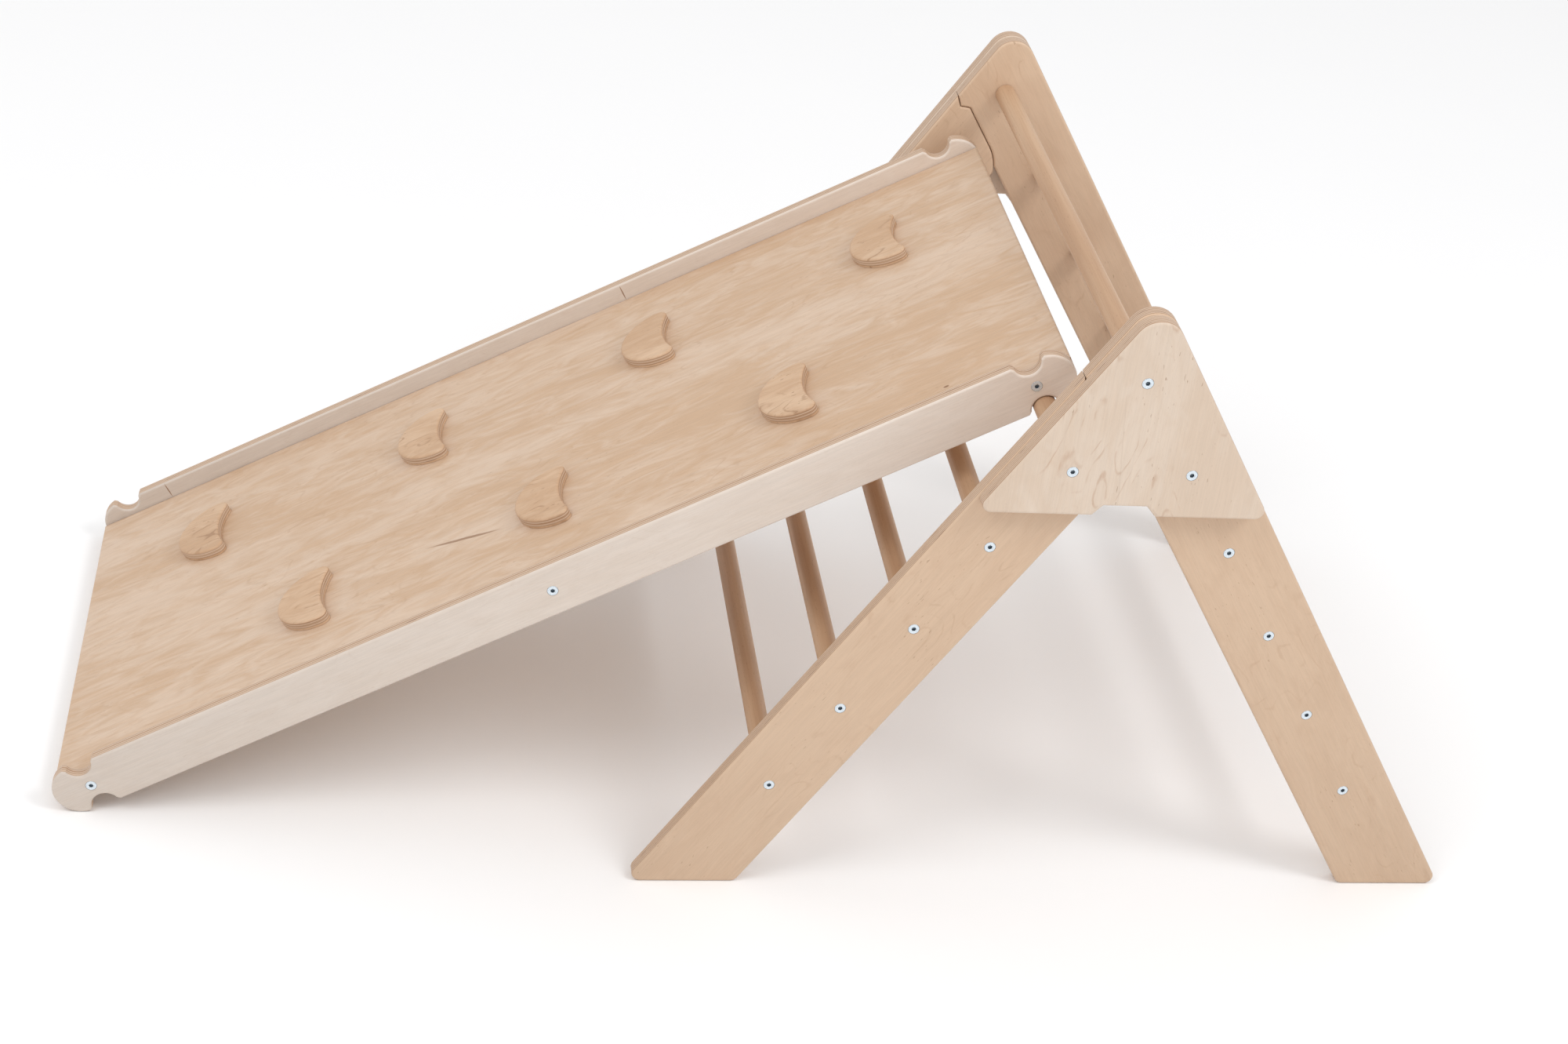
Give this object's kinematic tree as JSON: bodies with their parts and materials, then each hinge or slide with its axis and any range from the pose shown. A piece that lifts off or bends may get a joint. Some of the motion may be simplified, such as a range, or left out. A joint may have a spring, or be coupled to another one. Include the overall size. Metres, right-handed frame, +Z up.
{
  "type": "toddler slide",
  "caption": "Folding wooden climbing triangle of slatted leg frames, with a hook-on climbing and sliding ramp for toddlers.",
  "frame": {"origin": "centre of the bounding box on the floor, with the frame open and the slide hooked on", "axes": "+X along the slide from its low end to the back feet, +Y to the left of a child climbing the slide, +Z up"},
  "size_m": [1.522, 0.7478, 0.7053],
  "materials": {
    "birch_plywood": "clear satin varnish on birch plywood",
    "pale_birch_plywood": "clear satin varnish on pale birch plywood",
    "beech_rungs": "clear satin varnish on beech",
    "zinc_screws": "bright zinc plate"
  },
  "bodies": {
    "back_frame": {"top_rung": "beech_rungs", "back_rung_1": "beech_rungs", "back_rung_2": "beech_rungs", "back_rung_3": "beech_rungs", "back_rung_4": "beech_rungs", "back_rung_5": "beech_rungs", "back_leg_right": "birch_plywood", "side_plate_right": "pale_birch_plywood", "top_screw_right": "zinc_screws", "back_screw_1_right": "zinc_screws", "back_screw_2_right": "zinc_screws", "back_screw_3_right": "zinc_screws", "back_screw_4_right": "zinc_screws", "back_screw_5_right": "zinc_screws", "back_leg_left": "birch_plywood", "side_plate_left": "pale_birch_plywood", "top_screw_left": "zinc_screws", "back_screw_1_left": "zinc_screws", "back_screw_2_left": "zinc_screws", "back_screw_3_left": "zinc_screws", "back_screw_4_left": "zinc_screws", "back_screw_5_left": "zinc_screws"},
    "front_frame": {"front_rung_2": "beech_rungs", "front_rung_3": "beech_rungs", "front_rung_4": "beech_rungs", "front_rung_5": "beech_rungs", "front_leg_right": "birch_plywood", "front_screw_2_right": "zinc_screws", "front_screw_3_right": "zinc_screws", "front_screw_4_right": "zinc_screws", "front_screw_5_right": "zinc_screws", "front_leg_left": "birch_plywood", "front_screw_2_left": "zinc_screws", "front_screw_3_left": "zinc_screws", "front_screw_4_left": "zinc_screws", "front_screw_5_left": "zinc_screws"},
    "pivot_rung": {"pivot_rung": "beech_rungs", "pivot_screw_right": "zinc_screws", "pivot_screw_left": "zinc_screws"},
    "ramp": {"deck": "birch_plywood", "hold_1": "birch_plywood", "hold_2": "birch_plywood", "hold_3": "birch_plywood", "hold_4": "birch_plywood", "hold_5": "birch_plywood", "hold_6": "birch_plywood", "hold_7": "birch_plywood", "rail_right": "pale_birch_plywood", "rail_screw_1_right": "zinc_screws", "rail_screw_2_right": "zinc_screws", "rail_screw_3_right": "zinc_screws", "rail_left": "pale_birch_plywood", "rail_screw_1_left": "zinc_screws", "rail_screw_2_left": "zinc_screws", "rail_screw_3_left": "zinc_screws"}
  },
  "joints": [
    {"name": "fold", "type": "hinge", "parent": "back_frame", "child": "front_frame", "pos_m": [0.24636, 0, 0.5376], "axis": [0, -1, 0], "range_deg": [0, 64]},
    {"name": "ramp_tilt", "type": "hinge", "parent": "back_frame", "child": "pivot_rung", "pos_m": [0.24636, 0, 0.5376], "axis": [0, 1, 0], "range_deg": [0, 28.8]},
    {"name": "ramp_lift", "type": "slide", "parent": "pivot_rung", "child": "ramp", "axis": [-0.4828, 0, 0.8758], "range_m": [0, 0.2]}
  ]
}
